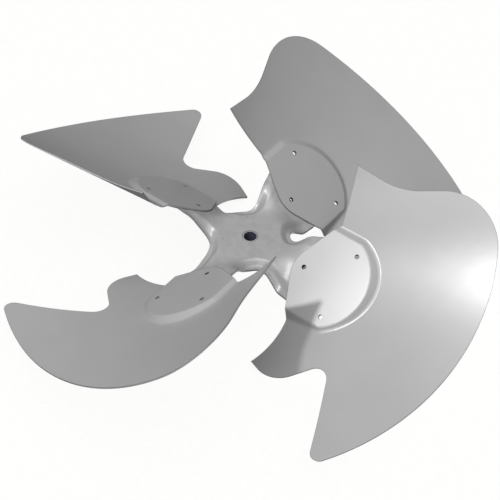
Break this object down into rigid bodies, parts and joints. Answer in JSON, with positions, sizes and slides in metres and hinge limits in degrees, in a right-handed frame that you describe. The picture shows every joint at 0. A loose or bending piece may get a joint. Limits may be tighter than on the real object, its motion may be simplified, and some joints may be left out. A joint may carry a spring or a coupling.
{
  "type": "axial fan impeller",
  "caption": "Axial fan impeller: wide cambered sheet blades on a twisted stamped spider, with a turned hub for a motor shaft.",
  "frame": {"origin": "centre of the bore where it opens at the hub's upper end, level with the spider's flat top", "axes": "+Z along the bore towards the side seen in the picture, +X along one blade's centre line, +Y along the next blade's"},
  "size_m": [0.6096, 0.6096, 0.1763],
  "materials": {
    "spider": "satin galvanised sheet",
    "hub": "turned steel",
    "blades": "satin mill finish",
    "screws": "black oxide"
  },
  "bodies": {
    "root": {"spider": "spider", "hub": "hub", "blade_1": "blades", "blade_2": "blades", "blade_3": "blades", "blade_4": "blades", "set_screws": "screws"}
  },
  "joints": []
}
